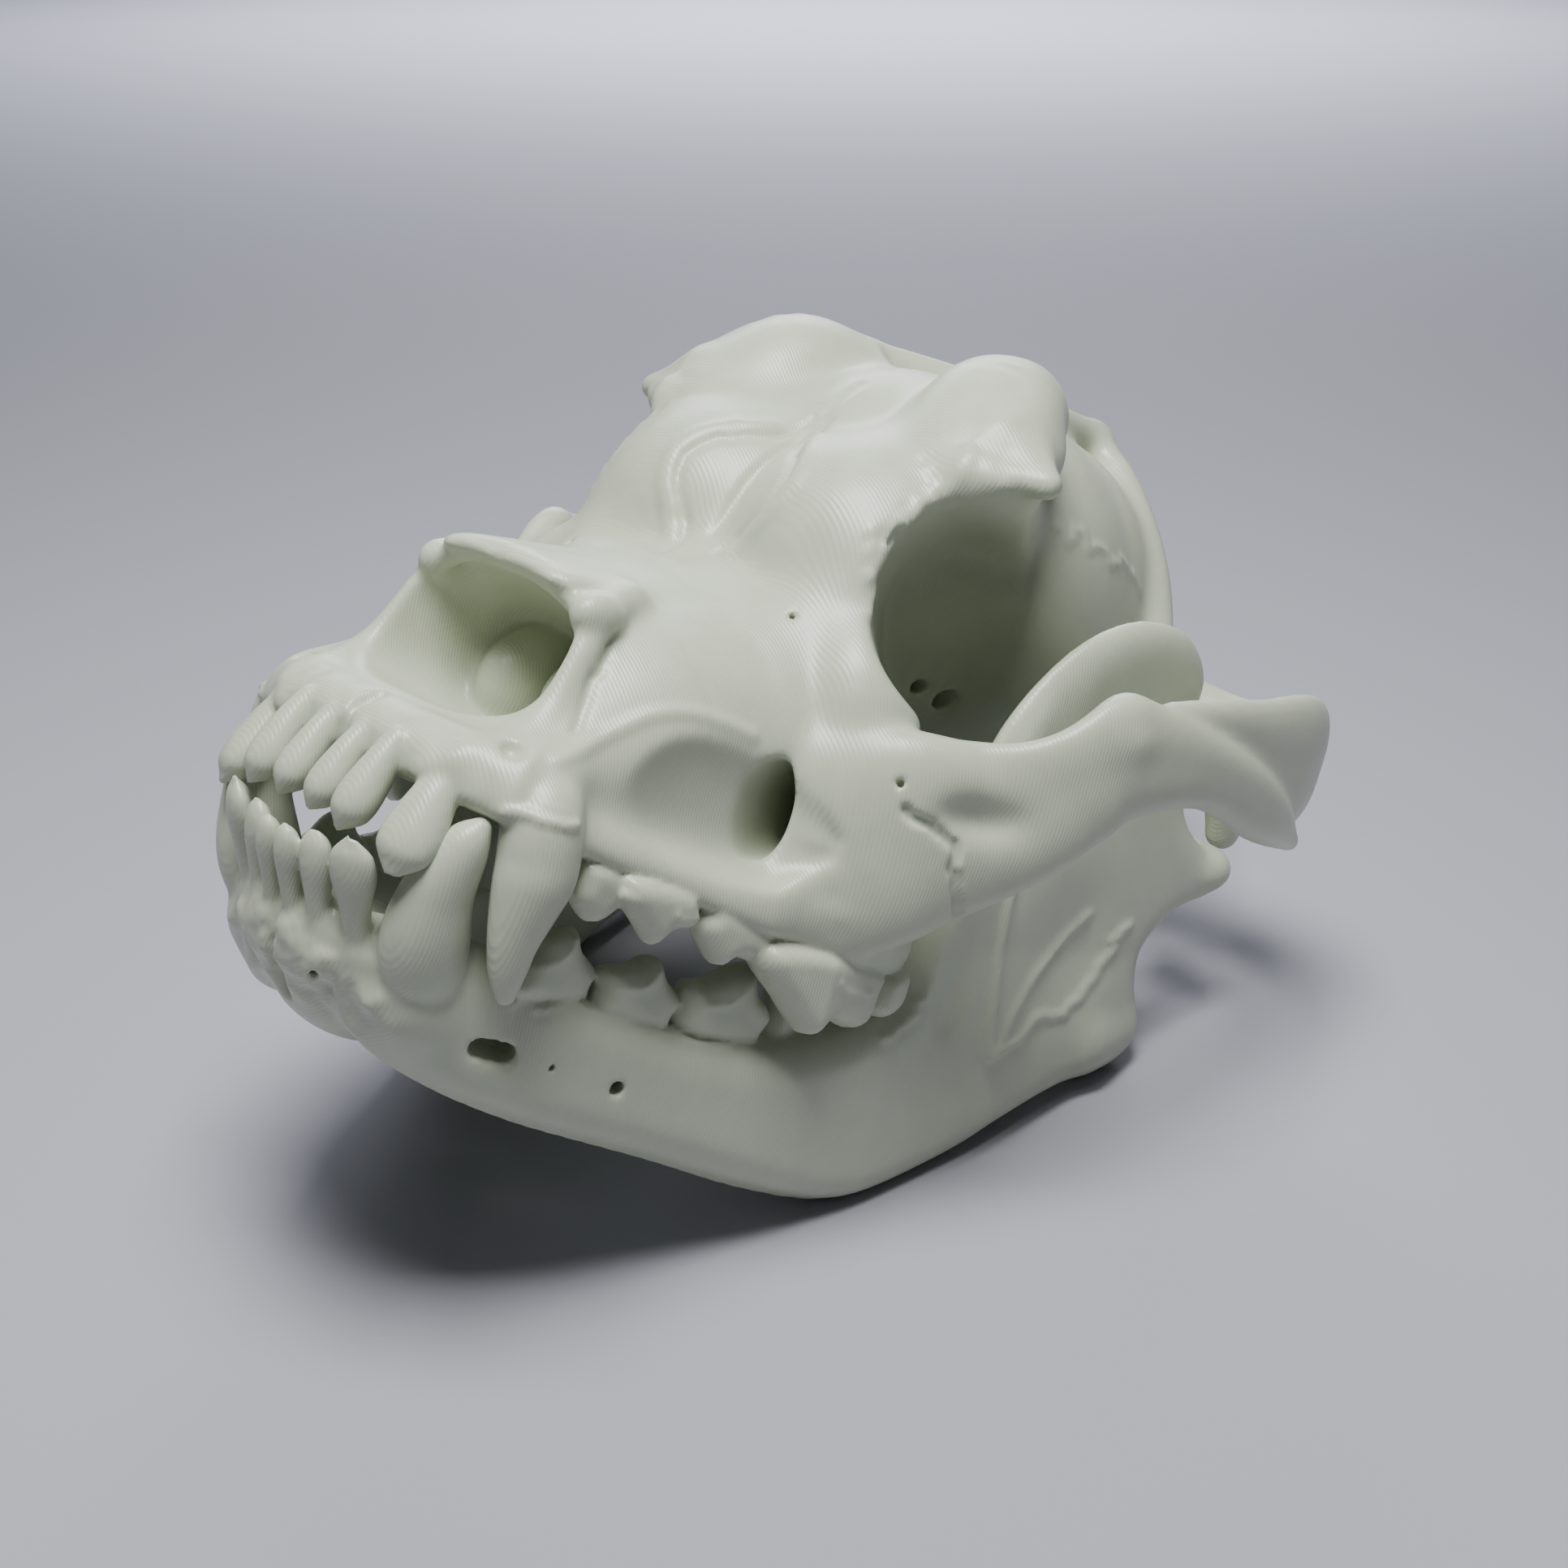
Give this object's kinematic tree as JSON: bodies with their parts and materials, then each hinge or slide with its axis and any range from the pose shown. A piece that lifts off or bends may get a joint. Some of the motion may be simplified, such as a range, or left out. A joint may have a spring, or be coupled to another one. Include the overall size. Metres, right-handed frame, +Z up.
{
  "type": "printed plastic replica of a dog skull",
  "caption": "Life-size printed plastic replica of a short-faced dog's skull, upper skull and lower jaw closed on each other, resting on the jaw as a museum display piece.",
  "frame": {"origin": "on the floor, under the middle of the object's box", "axes": "+Z up, the skull faces -Y and is tipped nose up as it rests, +X is the animal's left"},
  "size_m": [0.1376, 0.1804, 0.1107],
  "materials": {
    "printed_plastic": "glossy pale ivory-grey print with fine layer lines"
  },
  "bodies": {
    "root": {"muzzle": "printed_plastic", "braincase": "printed_plastic", "cheek_arch_left": "printed_plastic", "cheek_arch_right": "printed_plastic", "mandible_left": "printed_plastic", "mandible_right": "printed_plastic"}
  },
  "joints": []
}
